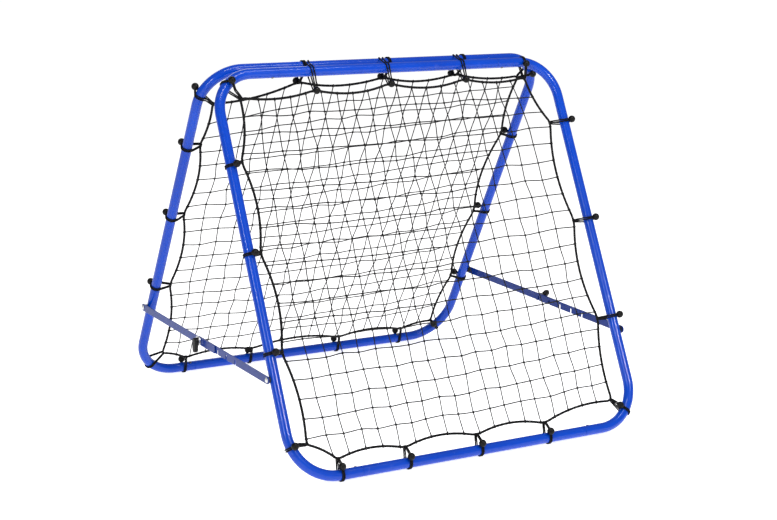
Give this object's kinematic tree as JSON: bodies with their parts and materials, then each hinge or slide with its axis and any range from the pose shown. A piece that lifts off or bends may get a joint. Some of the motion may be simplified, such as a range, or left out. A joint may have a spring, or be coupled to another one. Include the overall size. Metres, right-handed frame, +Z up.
{
  "type": "pitch back rebounder",
  "caption": "Double-sided ball rebounder: square tube frames with rounded corners, nets on ball bungees, and folding notched side braces.",
  "frame": {"origin": "on the floor, under the middle of the whole object's box", "axes": "+X along the frames' width, to the right seen from the front; -Y is the front, where the front frame leans out; +Z up"},
  "size_m": [1.0524, 0.9762, 0.9034],
  "materials": {
    "frame_paint": "glossy royal blue powder coat on round steel tube",
    "brace_paint": "blue painted flat steel bar",
    "zinc": "zinc plated",
    "lever_plastic": "black moulded plastic",
    "bungee": "black woven elastic cord and plastic ball",
    "border_rope": "black braided rope",
    "net_cord": "knotted thin black net cord"
  },
  "bodies": {
    "front_frame": {"front_left_side_tube": "frame_paint", "front_right_side_tube": "frame_paint", "front_top_crossbar": "frame_paint", "front_bottom_crossbar": "frame_paint", "front_border_rope": "border_rope", "front_net": "net_cord", "front_bungee_top_left_corner": "bungee", "front_bungee_top_1": "bungee", "front_bungee_top_2": "bungee", "front_bungee_top_3": "bungee", "front_bungee_top_right_corner": "bungee", "front_bungee_right_1": "bungee", "front_bungee_right_2": "bungee", "front_bungee_right_3": "bungee", "front_bungee_bottom_right_corner": "bungee", "front_bungee_bottom_4": "bungee", "front_bungee_bottom_3": "bungee", "front_bungee_bottom_2": "bungee", "front_bungee_bottom_1": "bungee", "front_bungee_bottom_left_corner": "bungee", "front_bungee_left_3": "bungee", "front_bungee_left_2": "bungee", "front_bungee_left_1": "bungee", "front_left_pivot_bolt": "zinc", "front_right_pivot_bolt": "zinc"},
    "back_frame": {"back_right_side_tube": "frame_paint", "back_left_side_tube": "frame_paint", "back_top_crossbar": "frame_paint", "back_bottom_crossbar": "frame_paint", "back_border_rope": "border_rope", "back_net": "net_cord", "back_bungee_top_right_corner": "bungee", "back_bungee_top_1": "bungee", "back_bungee_top_2": "bungee", "back_bungee_top_3": "bungee", "back_bungee_top_left_corner": "bungee", "back_bungee_left_1": "bungee", "back_bungee_left_2": "bungee", "back_bungee_left_3": "bungee", "back_bungee_bottom_left_corner": "bungee", "back_bungee_bottom_4": "bungee", "back_bungee_bottom_3": "bungee", "back_bungee_bottom_2": "bungee", "back_bungee_bottom_1": "bungee", "back_bungee_bottom_right_corner": "bungee", "back_bungee_right_3": "bungee", "back_bungee_right_2": "bungee", "back_bungee_right_1": "bungee", "back_left_pivot_bolt": "zinc", "back_right_pivot_bolt": "zinc"},
    "left_notched_bar": {"left_notched_brace_bar": "brace_paint"},
    "left_plain_bar": {"left_plain_brace_bar": "brace_paint"},
    "left_lever": {"left_clamp_lever": "lever_plastic"},
    "right_notched_bar": {"right_notched_brace_bar": "brace_paint"},
    "right_plain_bar": {"right_plain_brace_bar": "brace_paint"},
    "right_lever": {"right_clamp_lever": "lever_plastic"}
  },
  "joints": [
    {"name": "frame_fold", "type": "hinge", "parent": "front_frame", "child": "back_frame", "pos_m": [0, 0.02893, 0.88658], "axis": [1, 0, 0], "range_deg": [-53, 0]},
    {"name": "left_notched_bar_pivot", "type": "hinge", "parent": "front_frame", "child": "left_notched_bar", "pos_m": [-0.50665, -0.35651, 0.2286], "axis": [1, 0, 0], "range_deg": [0, 63]},
    {"name": "left_plain_bar_pivot", "type": "hinge", "parent": "back_frame", "child": "left_plain_bar", "pos_m": [-0.50965, 0.36, 0.2286], "axis": [1, 0, 0], "range_deg": [-64, 0]},
    {"name": "left_lever_turn", "type": "hinge", "parent": "left_plain_bar", "child": "left_lever", "pos_m": [-0.519, 0.00593, 0.2286], "axis": [-1, 0, 0], "range_deg": [0, 360]},
    {"name": "right_notched_bar_pivot", "type": "hinge", "parent": "front_frame", "child": "right_notched_bar", "pos_m": [0.50665, -0.35651, 0.2286], "axis": [1, 0, 0], "range_deg": [0, 63]},
    {"name": "right_plain_bar_pivot", "type": "hinge", "parent": "back_frame", "child": "right_plain_bar", "pos_m": [0.50965, 0.36, 0.2286], "axis": [1, 0, 0], "range_deg": [-64, 0]},
    {"name": "right_lever_turn", "type": "hinge", "parent": "right_plain_bar", "child": "right_lever", "pos_m": [0.519, 0.00593, 0.2286], "axis": [1, 0, 0], "range_deg": [0, 360]}
  ],
  "couplings": [
    {"joint": "left_notched_bar_pivot", "follows": "frame_fold", "ratio": -1.1791},
    {"joint": "left_plain_bar_pivot", "follows": "frame_fold", "ratio": 1.1942},
    {"joint": "right_notched_bar_pivot", "follows": "frame_fold", "ratio": -1.1791},
    {"joint": "right_plain_bar_pivot", "follows": "frame_fold", "ratio": 1.1942}
  ]
}
